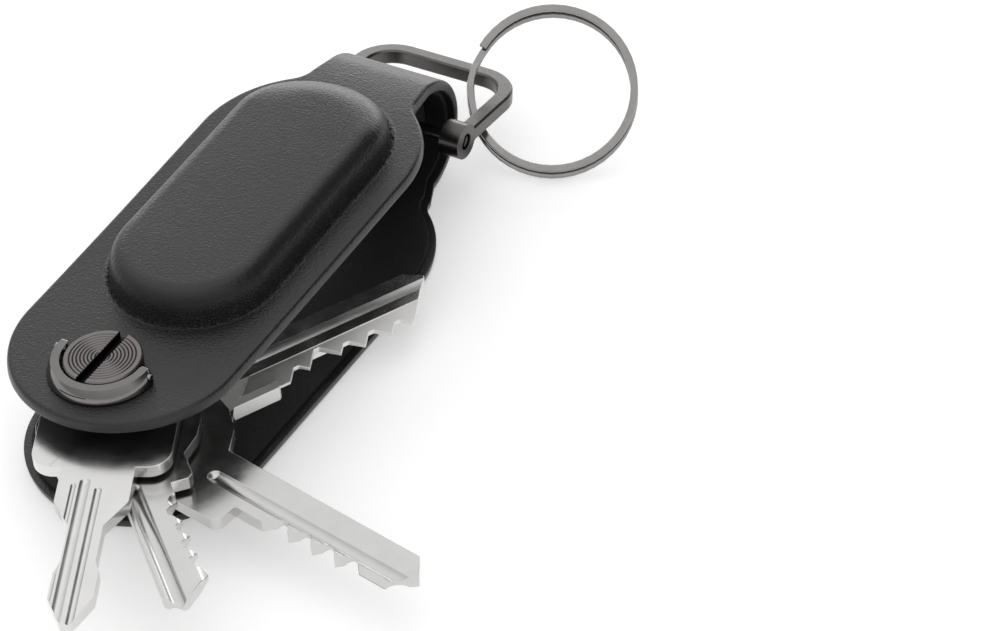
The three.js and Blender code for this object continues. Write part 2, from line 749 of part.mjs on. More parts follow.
const legY = shackleBarWidth / 2 - shackleHalfWidth;
const ringReach = ringRadius - shackleBarWidth / 2;
const ringLowest = ringOuterRadius + ringTurnShift / 2;
const ringFrame = new THREE.Group();
ringFrame.position.set(
  pinX + ringLegAlong + ringReach * Math.cos(radians(ringHeading)),
  legY + ringReach * Math.sin(radians(ringHeading)),
  ringLowest * Math.cos(normalElevation) + ringHalfHeight * Math.sin(normalElevation),
);
ringFrame.quaternion.setFromUnitVectors(new THREE.Vector3(0, 0, 1), ringNormal);
organizer.add(ringFrame);
const wire = wireSections();
console.log(`split ring: least gap between its turns ${leastTurnGap(wire).toFixed(2)} mm`);
addMesh(ringFrame, 'split_ring', wireGeometry(wire).rotateZ(radians(ringSplitAngle)), 'gunmetal');

export default organizer;
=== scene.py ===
import math

import bpy
import numpy as np
from mathutils import Matrix, Vector
from mathutils.geometry import delaunay_2d_cdt


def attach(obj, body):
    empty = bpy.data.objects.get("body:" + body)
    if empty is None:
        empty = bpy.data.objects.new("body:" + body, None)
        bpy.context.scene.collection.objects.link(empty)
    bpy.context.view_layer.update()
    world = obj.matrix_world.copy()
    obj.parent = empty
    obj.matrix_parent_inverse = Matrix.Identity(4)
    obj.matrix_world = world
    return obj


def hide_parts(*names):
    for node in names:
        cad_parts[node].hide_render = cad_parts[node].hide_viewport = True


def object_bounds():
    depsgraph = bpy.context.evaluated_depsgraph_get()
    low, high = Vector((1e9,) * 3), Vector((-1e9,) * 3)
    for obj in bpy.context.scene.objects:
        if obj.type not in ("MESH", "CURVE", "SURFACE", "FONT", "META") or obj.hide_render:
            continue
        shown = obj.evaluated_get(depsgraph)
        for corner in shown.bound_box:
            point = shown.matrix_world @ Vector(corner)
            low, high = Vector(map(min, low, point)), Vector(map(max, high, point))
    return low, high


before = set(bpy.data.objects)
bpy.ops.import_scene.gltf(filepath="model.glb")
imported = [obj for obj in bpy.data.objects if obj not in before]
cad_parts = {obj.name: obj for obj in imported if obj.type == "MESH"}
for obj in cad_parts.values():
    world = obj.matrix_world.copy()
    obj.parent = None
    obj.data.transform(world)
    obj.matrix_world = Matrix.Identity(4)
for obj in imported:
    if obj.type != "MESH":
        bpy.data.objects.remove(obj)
cad_low, cad_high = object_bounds()

# Sizes are in millimetres until a mesh is made. Angles are in degrees, but slopes and turns are in radians.
# X runs from the post to the fold, Z is up, and the origin is on the post's axis at the height of the surface
# that the organizer lies on.
MILLIMETRE = 0.001

# Camera
VIEW_TARGET = (53.5, -32.0, 0.0)
VIEW_DISTANCE = 500.0
VIEW_HEADING = -148.8
VIEW_PITCH = 40.4
VIEW_ROLL = -3.727
FOCAL_LENGTH = 120.96
SENSOR_WIDTH = 36.0
CLIP_START = 10.0

# Cover: one strip of lined leather, folded into two leaves
COVER_HEIGHT = 20.0
LEATHER_THICKNESS = 1.6
LINING_THICKNESS = 0.8
FRONT_END_CENTRE = 6.2
BACK_END_CENTRE = 7.3
END_RADIUS = 17.25
SHOULDER_HALF_WIDTH = 17.7
SHOULDER_START = 53.0
SHOULDER_RADIUS = 19.7
NECK_HALF_WIDTH = 9.5
NECK_FILLET = 4.5
FRONT_FOLD_HALF_WIDTH = 8.95
BACK_FOLD_HALF_WIDTH = 8.55
FOLD_X = 75.1
POST_HOLE = 2.8
FLANGE_HOLE = 5.9
BACK_WIDENING = 0.7
LINING_SETBACK = 1.2

# Bow of the front leaf: it rises with the square of the way to the fold and falls with a higher power
LEAF_LIFT = 2.4
LEAF_FALL = 0.82
LEAF_FALL_POWER = 8

# Rims of the cover's sheets, and the points and triangles that fill them inside their outlines
ROLL_RADIUS = 0.5
ROLL_TURN = 1.22
LIP_RADIUS = 0.12
SHEET_ROUNDING = 0.12
RIM_MARGIN = 0.1
RIM_STEPS = 5
OUTLINE_STEP = 0.55
GRID_STEP = 0.8
FILL_INSIDE = 1
FILL_TOLERANCE = 1e-6

# Dome on the front leaf, and the padding under it
DOME_NEAR = 23.6
DOME_FAR = 54.4
DOME_FOOT = 12.4
DOME_HEIGHT = 5.4
DOME_CROWN = 0.3
DOME_SHOULDER = 3.5
DOME_FULLNESS = 2.6
DOME_FAR_SHOULDER = 7.5
DOME_FAR_FULLNESS = 2.0
DOME_FAR_BLEND = 1.5
DOME_FOOT_FILLET = 0.3
DOME_RING_STEP = 0.3
RING_STEP = 0.25
PROFILE_STEPS = 80
FILLET_STEPS = 20
PADDING_GAP = 0.3
PADDING_WALL = 1.4

# Crease and crinkles in the leather at the dome's foot. A wave has its rates along and across the strip, in
# radians per millimetre. A crinkle's wave also has a sway and the sway's own rates.
CREASE_DEPTH = 0.13
CREASE_HALF_WIDTH = 0.16
CREASE_WANDER = 0.1
CREASE_WAVES = ((2.9, 1.3), (1.7, -4.1))
CREASE_STEP = 0.12
CRINKLE_HEIGHT = 0.05
CRINKLE_REACH = 0.6
CRINKLE_SCALE = 3.2
CRINKLE_WAVES = (
    ((3.1, 1.7), 2.9, (1.9, -1.3)),
    ((1.3, -3.7), 3.3, (1.1, 2.7)),
    ((0.7, 1.1), 2.1, (2.3, -0.6)),
)

# Bands at the dome's foot, by the distance off it: where each starts, is full, begins to fade and ends
PUCKER_BAND = (-3.6, -0.9, 0.3, 0.9)
CRACKLE_BAND = (-0.5, 0.0, 0.2, 1.1)
# In this band the leather's gloss is lowered, which paints shade at the dome's foot
FOOT_SHADE_BAND = (-2.0, -0.6, 0.2, 0.8)
FAR_OFF = 100.0

# Bail on the screw's head, and its pins
BAIL_INNER = 6.0
BAIL_TOP_OUTER = 7.25
BAIL_OUTER = 8.05
BAIL_RISE = 1.05
BAIL_DROP = 0.95
BAIL_WALL_TURNS = (1.05, 1.35)
BAIL_WALL_STEPS = 9
BAIL_AXIS_HEIGHT = 21.15
BAIL_EDGE = 0.08
BAIL_STEPS = 64
BAIL_TIP_TURN = 1.45
BAIL_END_STEPS = 16
BAIL_END_POWERS = (2, 4)
BAIL_HOLE = 0.65
SLIT_HALF_ANGLE = 16.0
SLIT_HEIGHT = 0.2
SLIT_DEPTH = 0.3
SLIT_STEPS = 16
CUT_MARGIN = 1.0
PIN_RADIUS = 0.5
PIN_START = 4.15
PIN_REACH = 7.9
PIN_CAP = 0.1
PIN_CAP_TURN = 1.5
PIN_CAP_STEPS = 6
ROUND_SIDES = 32

# Rounded edges of the metal and nylon pieces
EDGE_WIDTH = 0.09
WIRE_EDGE_WIDTH = 0.28
EDGE_SEGMENTS = 2
EDGE_ANGLE = 38.0
BAIL_EDGE_ANGLE = 35.0
FLAT_ANGLE = 0.5
WELD_DISTANCE = 0.001

# Pieces that keep the form they have in the frame, the keys with the headings of their blades
GUNMETAL_NODES = ("post_barrel", "shackle_loop", "shackle_pin")
NYLON_NODES = ("fold_core", "bottom_spacer", "key_washer_1", "key_washer_2", "key_washer_3", "top_spacer")
KEY_HEADINGS = {"key_1": -154.6, "key_2": -131.5, "key_3": -100.7, "key_4": -28.2}

# Leather: colours, roughness and gloss, then its textures by scale and height
LEATHER_COLOURS = ((0.0105, 0.0105, 0.011), (0.0145, 0.0145, 0.015))
LEATHER_ROUGHNESS = (0.3, 0.37)
LEATHER_GLOSS = 0.5
# Lower gloss at the dome's foot, which paints shade there
FOOT_SHADE_GLOSS = 0.23
STREAK_HEADING = -59.0
STREAK_STRETCH = (0.6, 1.2, 1.0)
STREAKS = {"scale": 2.2, "distortion": 0.8}
STREAK_HEIGHT = 0.04
CELLS = {"Scale": 2.6, "Smoothness": 0.4}
CELL_HEIGHT = 0.035
PORES = {"scale": 7.0, "roughness": 0.6}
PORE_HEIGHT = 0.012
BLOTCHES = {"scale": 0.09, "roughness": 0.6}
PUCKERS = {"scale": 1.5, "roughness": 0.6, "distortion": 0.4}
PUCKER_SQUEEZE = 0.35
PUCKER_HEIGHT = 0.08
CRACKLE_SCALE = 2.3
CRACKLE_EDGE = 0.14
CRACKLE_HEIGHT = 0.1

# Lining, padding and nylon
LINING_COLOURS = ((0.006, 0.006, 0.006), (0.011, 0.011, 0.011))
LINING_ROUGHNESS = (0.6, 0.8)
LINING_GLOSS = 0.3
LINING_FIBRES = {"scale": 4.0, "detail": 4.0, "roughness": 0.65}
LINING_BLOTCHES = {"scale": 0.2}
FIBRE_HEIGHT = 0.08
PADDING_COLOURS = ((0.020, 0.020, 0.020), (0.034, 0.034, 0.034))
PADDING_ROUGHNESS = (0.85, 0.95)
PADDING_GLOSS = 0.2
FOAM_SCALE = 2.4
FOAM_HEIGHT = 0.15
NYLON_COLOURS = ((0.010, 0.010, 0.010), (0.016, 0.016, 0.016))
NYLON_ROUGHNESS = (0.5, 0.65)
NYLON_GLOSS = 0.4
NYLON_GRIT = {"scale": 5.0}
NYLON_GRIT_HEIGHT = 0.02

# Dark metals: two colours and a range of roughness each
GUNMETAL = ((0.105, 0.1, 0.098), (0.14, 0.133, 0.131), (0.24, 0.34))
POLISHED_GUNMETAL = ((0.18, 0.172, 0.17), (0.22, 0.21, 0.208), (0.08, 0.15))
RING_STEEL = ((0.26, 0.254, 0.25), (0.34, 0.333, 0.33), (0.1, 0.18))
METAL_CLOUD = {"scale": 0.5}
METAL_GRIT = {"scale": 9.0, "roughness": 0.7}
METAL_GRIT_HEIGHT = 0.002
# Screw head: its colour turns black below the face, which is painted shade in the slot and the ring grooves
SCREW_TOP = 22.2
SCREW_FACE_DEPTH = 0.1
SCREW_SHADE_DEPTH = 0.5
SCREW_SHADE_AND_METAL_COLOURS = ((0.02, 0.019, 0.019), (0.19, 0.178, 0.176))
SCREW_ROUGHNESS = (0.3, 0.42)
SCREW_GRIT_HEIGHT = 0.003

# Nickel of the keys. A milled strip is given by its middle line and its half width across the key, and by an
# added roughness.
NICKEL = (1.0, 0.993, 0.98)
NICKEL_SPREAD = (0.92, 1.08)
NICKEL_ROUGHNESS = (0.17, 0.27)
NICKEL_CLOUD = {"scale": 0.35, "detail": 4.0, "roughness": 0.6}
BRUSHING = {"scale": 2.0, "roughness": 0.6}
BRUSHING_STRETCH = (0.04, 1.6, 1.6)
BRUSHING_HEIGHT = 0.002
MILLED_HEIGHT = 0.006
# Each key's nickel colour is scaled by its own level, which paints the light or shade that falls on that key
KEY_PAINTED_LIGHT_LEVELS = {"key_1": 0.72, "key_2": 0.63, "key_3": 0.61, "key_4": 0.82}
MILLED_STRIPS = {"key_4": ((2.5, 0.95, 0.22), (-2.8, 2.5, 0.35))}

# The middle range of a noise, which a roughness follows
NOISE_LOW = 0.3
NOISE_HIGH = 0.7

# Studio. The dark flag's reach is the angle of its edge and of its core from its middle.
WHITE = (1, 1, 1, 1)
FLOOR_SIZE = 6000.0
FLOOR_GAP = 0.05
FLOOR_GLOW = 0.32
FLOOR_ROUGHNESS = 0.9
FLOOR_COLOURS = ((0.90, 0.90, 0.90), (0.92, 0.92, 0.92))
FLOOR_CLOUD = {"scale": 0.02, "detail": 2.0}
BRIGHT_SIDE = (0.3, -0.2, 0.93)
BRIGHT_LIGHT = 1.14
DIM_LIGHT = 0.3
DARK_SIDE = (0.65, -0.62, 0.42)
DARK_REACH = (50.0, 20.0)
DARK_SHARE = 0.1
BACKDROP_SIDE = (0.88, 0.4, 0.2)
BACKDROP_DISTANCE = 900.0
BACKDROP_WIDTH = 1000.0
BACKDROP_HEIGHT = 300.0
BACKDROP_POWER = 2.4


def leaf_lift(along):
    """How far the front leaf bows up between the post and the fold, and its slope in radians."""
    share = np.clip(along / FOLD_X, 0, 1)
    lift = LEAF_LIFT * (share ** 2 - LEAF_FALL * share ** LEAF_FALL_POWER)
    steepness = 2 * share - LEAF_FALL_POWER * LEAF_FALL * share ** (LEAF_FALL_POWER - 1)
    return lift, np.arctan(LEAF_LIFT / FOLD_X * steepness)


# The fold turns the front leaf round on to the flat back leaf. The strip meets the post again at BACK_POST.
FOLD_LIFT, FOLD_SLOPE = leaf_lift(FOLD_X)
FOLD_RADIUS = (COVER_HEIGHT + FOLD_LIFT) / (1 + math.cos(FOLD_SLOPE))
FOLD_CENTRE_X = FOLD_X + FOLD_RADIUS * math.sin(FOLD_SLOPE)
FOLD_TURN = math.pi + FOLD_SLOPE
FOLD_LENGTH = FOLD_TURN * (FOLD_RADIUS - (LEATHER_THICKNESS + LINING_THICKNESS) / 2)
BACK_POST = FOLD_X + FOLD_CENTRE_X + FOLD_LENGTH


# Outlines in the flat strip, which runs along the front leaf, round the fold and back along the back leaf

def arc(centre, radius, start, end, nominal, step=OUTLINE_STEP):
    """Points of an arc, its angles in radians. Their number follows the nominal radius."""
    count = max(2, math.ceil(abs(end - start) * nominal / step))
    turns = np.linspace(start, end, count + 1)
    return [(centre[0] + radius * math.cos(turn), centre[1] + radius * math.sin(turn)) for turn in turns]


def run(start, end, step=OUTLINE_STEP):
    """Points of a run along the strip between two ends, without the ends."""
    count = max(1, math.ceil(abs(end[0] - start[0]) / step))
    shares = np.arange(1, count) / count
    return [(start[0] + (end[0] - start[0]) * t, start[1] + (end[1] - start[1]) * t) for t in shares]


def leaf_side(end_centre, inset, fold_half_width):
    """One side of a leaf from its near end to the fold, at an inset from its edge, where y is positive."""
    shoulder_y = SHOULDER_HALF_WIDTH - SHOULDER_RADIUS
    fillet_y = NECK_HALF_WIDTH + NECK_FILLET
    reach = SHOULDER_RADIUS + NECK_FILLET
    fillet_x = SHOULDER_START + math.sqrt(reach ** 2 - (fillet_y - shoulder_y) ** 2)
    meeting = math.atan2(fillet_y - shoulder_y, fillet_x - SHOULDER_START)
    near = arc((end_centre, 0), END_RADIUS - inset, math.pi, math.pi / 2, END_RADIUS)
    centre = (SHOULDER_START, shoulder_y)
    shoulder = arc(centre, SHOULDER_RADIUS - inset, math.pi / 2, meeting, SHOULDER_RADIUS)
    fillet = arc((fillet_x, fillet_y), NECK_FILLET + inset, meeting - math.pi, -math.pi / 2, NECK_FILLET)
    fold = (FOLD_X, fold_half_width)
    return near + run(near[-1], shoulder[0]) + shoulder + fillet[1:] + run(fillet[-1], fold) + [fold]


def strip_outline(inset):
    """The whole strip's outline laid flat, counter-clockwise, narrowing at the fold to let the ring pass."""
    front = leaf_side(FRONT_END_CENTRE, inset, FRONT_FOLD_HALF_WIDTH - inset)
    back = leaf_side(BACK_END_CENTRE, inset - BACK_WIDENING, BACK_FOLD_HALF_WIDTH - inset)
    back = [(BACK_POST - x, y) for x, y in reversed(back)]
    upper = front + run(front[-1], back[0]) + back
    lower = [(x, -y) for x, y in upper]
    return lower[:-1] + upper[:0:-1]


def hole(centre, radius, inset):
    """A hole's loop at an inset from its edge, clockwise."""
    return arc(centre, radius + inset, 2 * math.pi, 0, radius)[:-1]


def dome_loop(radius, nominal, step=OUTLINE_STEP):
    """A closed loop at a distance from the dome's middle line, counter-clockwise."""
    near = arc((DOME_NEAR, 0), radius, math.pi / 2, 3 * math.pi / 2, nominal, step)
    far = arc((DOME_FAR, 0), radius, -math.pi / 2, math.pi / 2, nominal, step)
    return near + run(near[-1], far[0], step) + far + run(far[-1], near[0], step)


def bend(along, across, height):
    """Place in the part's frame of a point of the flat strip, at a height over the cover's outer face."""
    lift, slope = leaf_lift(along)
    leaf_x = along - height * np.sin(slope)
    leaf_z = COVER_HEIGHT + lift + height * np.cos(slope)
    turn = np.clip((along - FOLD_X) / FOLD_LENGTH, 0, 1) * FOLD_TURN - FOLD_SLOPE
    beyond = np.maximum(along - FOLD_X - FOLD_LENGTH, 0)
    fold_x = FOLD_CENTRE_X + (FOLD_RADIUS + height) * np.sin(turn) - beyond
    fold_z = FOLD_RADIUS + (FOLD_RADIUS + height) * np.cos(turn)
    on_leaf = along < FOLD_X
    return np.column_stack([np.where(on_leaf, leaf_x, fold_x), across, np.where(on_leaf, leaf_z, fold_z)])


# The dome's form

def dome_distance(along, across):
    """Distance from the line between the centres of the dome's two round ends."""
    nearest = np.clip(along, DOME_NEAR, DOME_FAR)
    return np.hypot(along - nearest, across)


def dome_profile(height, foot, shoulder, fullness):
    """Distances and heights of the dome's section: a low crown, a full shoulder, a wall and a fillet."""
    flat = foot - shoulder
    shares = np.sin(np.linspace(0, math.pi / 2, PROFILE_STEPS))
    fall = 1 - (1 - shares ** fullness) ** (1 / fullness)
    distances = np.concatenate([np.linspace(0, flat, PROFILE_STEPS)[:-1], flat + shoulder * shares])
    fall = np.concatenate([np.zeros(PROFILE_STEPS - 1), fall])
    heights = height - DOME_CROWN * (distances / foot) ** 2 - (height - DOME_CROWN) * fall
    last = np.argmax(heights < DOME_FOOT_FILLET)
    lean = math.atan2(heights[last - 1] - heights[last], distances[last] - distances[last - 1])
    fillet = heights[last] / (1 - math.cos(lean))
    turns = np.linspace(lean, 0, FILLET_STEPS)
    foot_distances = distances[last] + fillet * (math.sin(lean) - np.sin(turns))
    foot_heights = fillet * (1 - np.cos(turns))
    return np.concatenate([distances[:last], foot_distances]), np.concatenate([heights[:last], foot_heights])


def dome_profiles(drop, inset):
    """Sections of the dome's sides and of its gentler far end, at a drop and an inset from its outer face."""
    height, foot = DOME_HEIGHT - drop, DOME_FOOT - inset
    side = dome_profile(height, foot, DOME_SHOULDER - inset, DOME_FULLNESS)
    far = dome_profile(height, foot, DOME_FAR_SHOULDER - inset, DOME_FAR_FULLNESS)
    return side, far


def far_share(along, across):
    """0 along the dome's sides, rising round its far end to 1 on its middle line."""
    beyond = np.maximum(along - DOME_FAR, 0)
    reach = np.maximum(np.hypot(along - DOME_FAR, across), GRID_STEP)
    return (beyond / reach) ** DOME_FAR_BLEND


def dome_lift(along, across, profiles):
    """Height of a dome over the leaf, between the sections of its sides and of its far end."""
    distance = dome_distance(along, across)
    share = far_share(along, across)
    side, far = profiles
    return (1 - share) * np.interp(distance, *side) + share * np.interp(distance, *far)


# Closed sheets: a rounded rim along every outline and the two faces filled between

def within(points, loop):
    """Which points lie inside a closed loop."""
    inside = np.zeros(len(points), bool)
    for (x0, y0), (x1, y1) in zip(loop, loop[1:] + loop[:1]):
        if y0 == y1:
            continue
        crosses = (points[:, 1] >= min(y0, y1)) & (points[:, 1] < max(y0, y1))
        inside ^= crosses & (points[:, 0] < x0 + (points[:, 1] - y0) * (x1 - x0) / (y1 - y0))
    return inside


def corner_distance(points, loop):
    """Distance of each point from the nearest corner of a closely spaced loop."""
    nearest = np.full(len(points), np.inf)
    for x, y in loop:
        nearest = np.minimum(nearest, np.hypot(points[:, 0] - x, points[:, 1] - y))
    return nearest


def inside_points(loops, rings):
    """Points of a grid, and of rings round the dome, that lie well inside the outlines."""
    low, high = np.min(loops[0], axis=0), np.max(loops[0], axis=0)
    xs, ys = np.meshgrid(np.arange(low[0], high[0], GRID_STEP), np.arange(low[1], high[1], GRID_STEP))
    points = np.column_stack([xs.ravel(), ys.ravel()])
    if rings:
        reach = dome_distance(points[:, 0], points[:, 1])
        points = points[(reach < min(rings) - GRID_STEP / 2) | (reach > max(rings) + GRID_STEP / 2)]
        points = np.vstack([points, *(dome_loop(radius, DOME_FOOT, RING_STEP) for radius in rings)])
    keep = within(points, loops[0])
    for loop in loops[1:]:
        keep &= ~within(points, loop)
    for loop in loops:
        keep &= corner_distance(points, loop) > GRID_STEP / 2
    return points[keep]


def loop_edges(loops):
    """Pairs of neighbouring corners, numbered through all the loops."""
    edges = []
    first = 0
    for loop in loops:
        count = len(loop)
        edges += [(first + i, first + (i + 1) % count) for i in range(count)]
        first += count
    return edges


def fill(loops, rings):
    """Triangles between the loops: their corners, their faces, and the new number of each loop's corners."""
    corners = [corner for loop in loops for corner in loop] + inside_points(loops, rings).tolist()
    vectors = [Vector(corner) for corner in corners]
    edges = loop_edges(loops)
    found, _, faces, sources, _, _ = delaunay_2d_cdt(vectors, edges, [], FILL_INSIDE, FILL_TOLERANCE)
    flat = np.array([tuple(point) for point in found])
    centres = flat[np.array(faces)].mean(axis=1)
    keep = np.ones(len(faces), bool)
    for loop in loops[1:]:
        keep &= ~within(centres, loop)
    kept = [tuple(face) for face, stays in zip(faces, keep) if stays]
    place = {old: new for new, olds in enumerate(sources) for old in olds}
    return flat, kept, place


def rim_arc(radius, start, end, inset, depth):
    """Insets and depths over an arc of a rim that starts at an inset and a depth. Its angles, in radians, are
    those of the outward direction from straight up."""
    turns = np.linspace(start, end, RIM_STEPS)
    widths = radius * (np.sin(turns) - math.sin(start))
    falls = radius * (math.cos(start) - np.cos(turns))
    return [(inset - width, depth + fall) for width, fall in zip(widths, falls)]


def plain_rim(thickness):
    """A rim with a round upper and lower edge."""
    upper = rim_arc(SHEET_ROUNDING, 0, math.pi / 2, SHEET_ROUNDING, 0)
    return upper + [(inset, thickness - depth) for inset, depth in upper[::-1]]


def rolled_rim(thickness):
    """A rim that rolls over from the upper face into a slightly swelling wall with a round lower edge."""
    wall_height = thickness - LIP_RADIUS - ROLL_RADIUS * (1 - math.cos(ROLL_TURN))
    wall_radius = wall_height / math.cos(ROLL_TURN)
    wall_inset = wall_radius * (1 - math.sin(ROLL_TURN))
    roll = rim_arc(ROLL_RADIUS, 0, ROLL_TURN, wall_inset + ROLL_RADIUS * math.sin(ROLL_TURN), 0)
    wall_rows = rim_arc(wall_radius, ROLL_TURN, math.pi / 2, *roll[-1])
    lip = rim_arc(LIP_RADIUS, math.pi / 2, math.pi, *wall_rows[-1])
    return roll + wall_rows[1:] + lip[1:]


def rim_faces(rows):
    """Four-sided faces between the rows of corners round a rim."""
    faces = []
    for upper, lower in zip(rows, rows[1:]):
        for i in range(len(upper)):
            j = (i + 1) % len(upper)
            faces.append((upper[i], lower[i], lower[j], upper[j]))
    return faces


def keep_foot_places(mesh, flat):
    """Keeps where each corner of the upper face lies along and off the dome's foot. Others are far off."""
    for label, measure in (("foot_along", foot_along), ("foot_off", foot_off)):
        values = np.full(len(mesh.vertices), FAR_OFF)
        values[:len(flat)] = measure(*flat.T)
        mesh.attributes.new(label, "FLOAT", "POINT").data.foreach_set("value", values)


def sheet_piece(name, outlines, rim, top, bottom, rings=()):
    """A closed sheet. outlines gives the outer loop and the holes at an inset from the edge, rim the insets
    and depths of its edge's section, and top and bottom the heights of its two faces."""
    loops = outlines(max(inset for inset, depth in rim) + RIM_MARGIN)
    flat, triangles, place = fill(loops, rings)
    count = len(flat)
    points = [bend(*flat.T, top(*flat.T)), bend(*flat.T, bottom(*flat.T))]
    faces = triangles + [tuple(count + i for i in face[::-1]) for face in triangles]
    thickness = rim[-1][1]
    section = [(outlines(inset), depth / thickness) for inset, depth in rim]
    total = 2 * count
    first = 0
    for index, loop in enumerate(loops):
        size = len(loop)
        edge = [place[first + i] for i in range(size)]
        rows = [edge]
        for level_loops, share in section:
            ring = np.array(level_loops[index])
            heights = top(*ring.T) * (1 - share) + bottom(*ring.T) * share
            points.append(bend(*ring.T, heights))
            rows.append(list(range(total, total + size)))
            total += size
        rows.append([count + corner for corner in edge])
        faces += rim_faces(rows)
        first += size
    mesh = bpy.data.meshes.new(name)
    mesh.from_pydata((np.vstack(points) * MILLIMETRE).tolist(), [], faces)
    mesh.polygons.foreach_set("use_smooth", [True] * len(faces))
    keep_foot_places(mesh, flat)
    mesh.update()
    return place_piece(name, mesh)


def place_piece(name, mesh):
    piece = bpy.data.objects.new(name, mesh)
    bpy.context.scene.collection.objects.link(piece)
    return piece


# Nodes that the materials share

def add(tree, kind, inputs=None, **settings):
    """A node with its settings, and its inputs by name: plain values, or sockets to join."""
    item = tree.nodes.new(kind)
    for key, value in settings.items():
        setattr(item, key, value)
    for key, value in (inputs or {}).items():
        if isinstance(value, bpy.types.NodeSocket):
            tree.links.new(value, item.inputs[key])
        else:
            item.inputs[key].default_value = value
    return item


def new_material(name, **sockets):
    """A material with its Principled shader's plain values set."""
    material = bpy.data.materials.new(name)
    material.use_nodes = True
    tree = material.node_tree
    shader = tree.nodes["Principled BSDF"]
    for key, value in sockets.items():
        shader.inputs[key.replace("_", " ")].default_value = value
    return material, tree, shader


def join(tree, shader, **sockets):
    for key, value in sockets.items():
        tree.links.new(value, shader.inputs[key.replace("_", " ")])


def place_in(tree, heading=0.0, stretch=(1.0, 1.0, 1.0)):
    """Coordinates in millimetres on the piece, turned about Z to a heading in degrees and stretched."""
    coordinates = add(tree, "ShaderNodeTexCoord").outputs["Object"]
    scale = [factor / MILLIMETRE for factor in stretch]
    if not heading:
        return add(tree, "ShaderNodeMapping", {"Vector": coordinates, "Scale": scale}).outputs[0]
    rotation = (0, 0, -math.radians(heading))
    turned = add(tree, "ShaderNodeMapping", {"Vector": coordinates, "Rotation": rotation})
    return add(tree, "ShaderNodeMapping", {"Vector": turned.outputs[0], "Scale": scale}).outputs[0]


def noise(tree, place, scale, detail=3.0, roughness=0.5, distortion=0.0):
    inputs = {"Vector": place, "Scale": scale, "Detail": detail}
    inputs.update({"Roughness": roughness, "Distortion": distortion})
    return add(tree, "ShaderNodeTexNoise", inputs).outputs["Fac"]


def ramp(tree, factor, low, high):
    """Maps a noise's middle range to the values between low and high."""
    inputs = {"Value": factor, "From Min": NOISE_LOW, "From Max": NOISE_HIGH, "To Min": low, "To Max": high}
    return add(tree, "ShaderNodeMapRange", inputs).outputs[0]


def tint(tree, factor, dark, light):
    """A colour between two others."""
    inputs = {"Factor_Float": factor, "A_Color": (*dark, 1), "B_Color": (*light, 1)}
    mix = add(tree, "ShaderNodeMix", data_type="RGBA")
    for socket in mix.inputs:
        value = inputs.get(socket.identifier)
        if socket.identifier == "Factor_Float":
            tree.links.new(value, socket)
        elif value:
            socket.default_value = value
    return next(socket for socket in mix.outputs if socket.identifier == "Result_Color")


def bump(tree, height, depth, under=None):
    """Normals of a height of so many millimetres, on top of an earlier bump."""
    inputs = {"Height": height, "Distance": depth * MILLIMETRE, "Strength": 1.0}
    if under:
        inputs["Normal"] = under
    return add(tree, "ShaderNodeBump", inputs).outputs[0]


def times(tree, first, second):
    return add(tree, "ShaderNodeMath", {0: first, 1: second}, operation="MULTIPLY").outputs[0]


def rise_between(tree, value, start, end):
    """0 before a start and 1 after an end."""
    return add(tree, "ShaderNodeMapRange", {"Value": value, "From Min": start, "From Max": end}).outputs[0]


def band(tree, value, start, full, fade, end):
    """1 between full and fade, falling to 0 at the start and at the end."""
    return times(tree, rise_between(tree, value, start, full), rise_between(tree, value, end, fade))


def corner_value(tree, name):
    """A value that the mesh keeps for each corner."""
    return add(tree, "ShaderNodeAttribute", attribute_name=name).outputs["Fac"]


# Materials

def pucker_height(tree):
    """Small folds that run up the dome's wall from its foot."""
    off = corner_value(tree, "foot_off")
    inputs = {"X": corner_value(tree, "foot_along"), "Y": times(tree, off, PUCKER_SQUEEZE)}
    place = add(tree, "ShaderNodeCombineXYZ", inputs).outputs[0]
    return times(tree, noise(tree, place, **PUCKERS), band(tree, off, *PUCKER_BAND))


def crackle_height(tree, place):
    """Cracked cells along the dome's foot, their edges low."""
    inputs = {"Vector": place, "Scale": CRACKLE_SCALE}
    cells = add(tree, "ShaderNodeTexVoronoi", inputs, feature="DISTANCE_TO_EDGE")
    plates = rise_between(tree, cells.outputs["Distance"], 0.0, CRACKLE_EDGE)
    return times(tree, plates, band(tree, corner_value(tree, "foot_off"), *CRACKLE_BAND))


def leather_material():
    """Grained leather, crinkled and less glossy at the dome's foot, where the lower gloss paints shade."""
    material, tree, shader = new_material("leather")
    place = place_in(tree)
    streaks = noise(tree, place_in(tree, STREAK_HEADING, STREAK_STRETCH), **STREAKS)
    cells = add(tree, "ShaderNodeTexVoronoi", {"Vector": place, **CELLS}, feature="SMOOTH_F1")
    normal = bump(tree, streaks, STREAK_HEIGHT)
    normal = bump(tree, cells.outputs["Distance"], CELL_HEIGHT, under=normal)
    normal = bump(tree, noise(tree, place, **PORES), PORE_HEIGHT, under=normal)
    normal = bump(tree, pucker_height(tree), PUCKER_HEIGHT, under=normal)
    normal = bump(tree, crackle_height(tree, place), CRACKLE_HEIGHT, under=normal)
    # Painted shade: the gloss falls at the dome's foot to darken it
    foot_shade = band(tree, corner_value(tree, "foot_off"), *FOOT_SHADE_BAND)
    inputs = {"Value": foot_shade, "To Min": LEATHER_GLOSS, "To Max": FOOT_SHADE_GLOSS}
    gloss = add(tree, "ShaderNodeMapRange", inputs).outputs[0]
    colour = tint(tree, noise(tree, place, **BLOTCHES), *LEATHER_COLOURS)
    roughness = ramp(tree, streaks, *LEATHER_ROUGHNESS)
    join(tree, shader, Base_Color=colour, Roughness=roughness, Specular_IOR_Level=gloss, Normal=normal)
    return material


def lining_material():
    material, tree, shader = new_material("lining", Specular_IOR_Level=LINING_GLOSS)
    place = place_in(tree)
    fibres = noise(tree, place, **LINING_FIBRES)
    colour = tint(tree, noise(tree, place, **LINING_BLOTCHES), *LINING_COLOURS)
    roughness = ramp(tree, fibres, *LINING_ROUGHNESS)
    join(tree, shader, Base_Color=colour, Roughness=roughness, Normal=bump(tree, fibres, FIBRE_HEIGHT))
    return material


